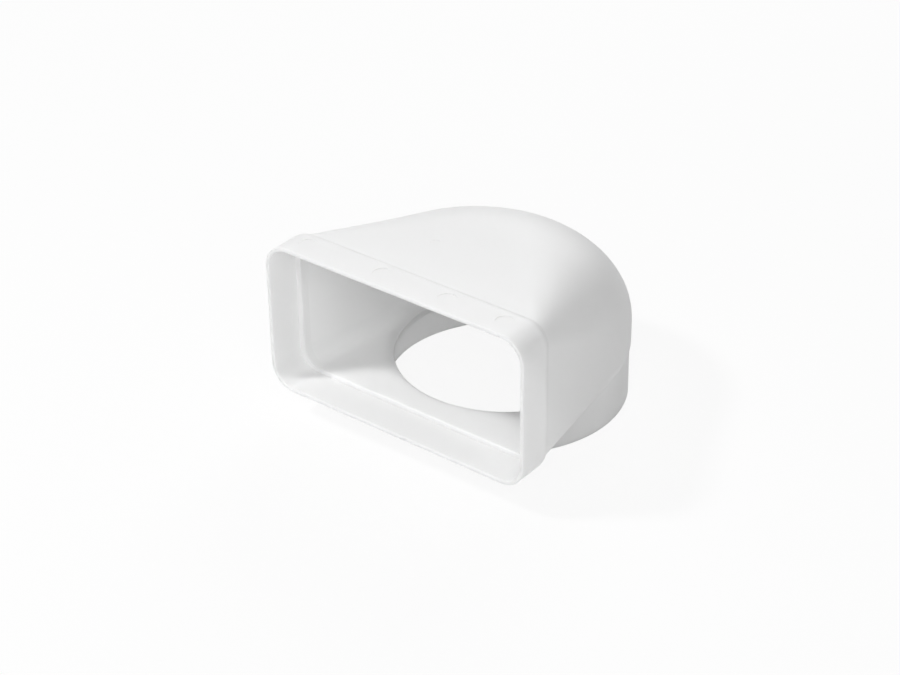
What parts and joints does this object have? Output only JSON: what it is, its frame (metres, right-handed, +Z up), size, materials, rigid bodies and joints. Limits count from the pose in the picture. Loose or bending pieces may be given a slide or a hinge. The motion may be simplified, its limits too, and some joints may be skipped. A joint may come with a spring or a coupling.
{
  "type": "ventilation duct elbow",
  "caption": "Hollow one-piece plastic duct elbow that turns a flat rectangular ventilation channel through a right angle into a round pipe.",
  "frame": {"origin": "centre of the round outlet at its lower rim", "axes": "+Z up along the round outlet's axis, away from its rim; -Y out of the rectangular mouth; X across the mouth"},
  "size_m": [0.1238, 0.122, 0.0778],
  "materials": {
    "white_plastic": "satin"
  },
  "bodies": {
    "root": {"duct_elbow": "white_plastic"}
  },
  "joints": []
}
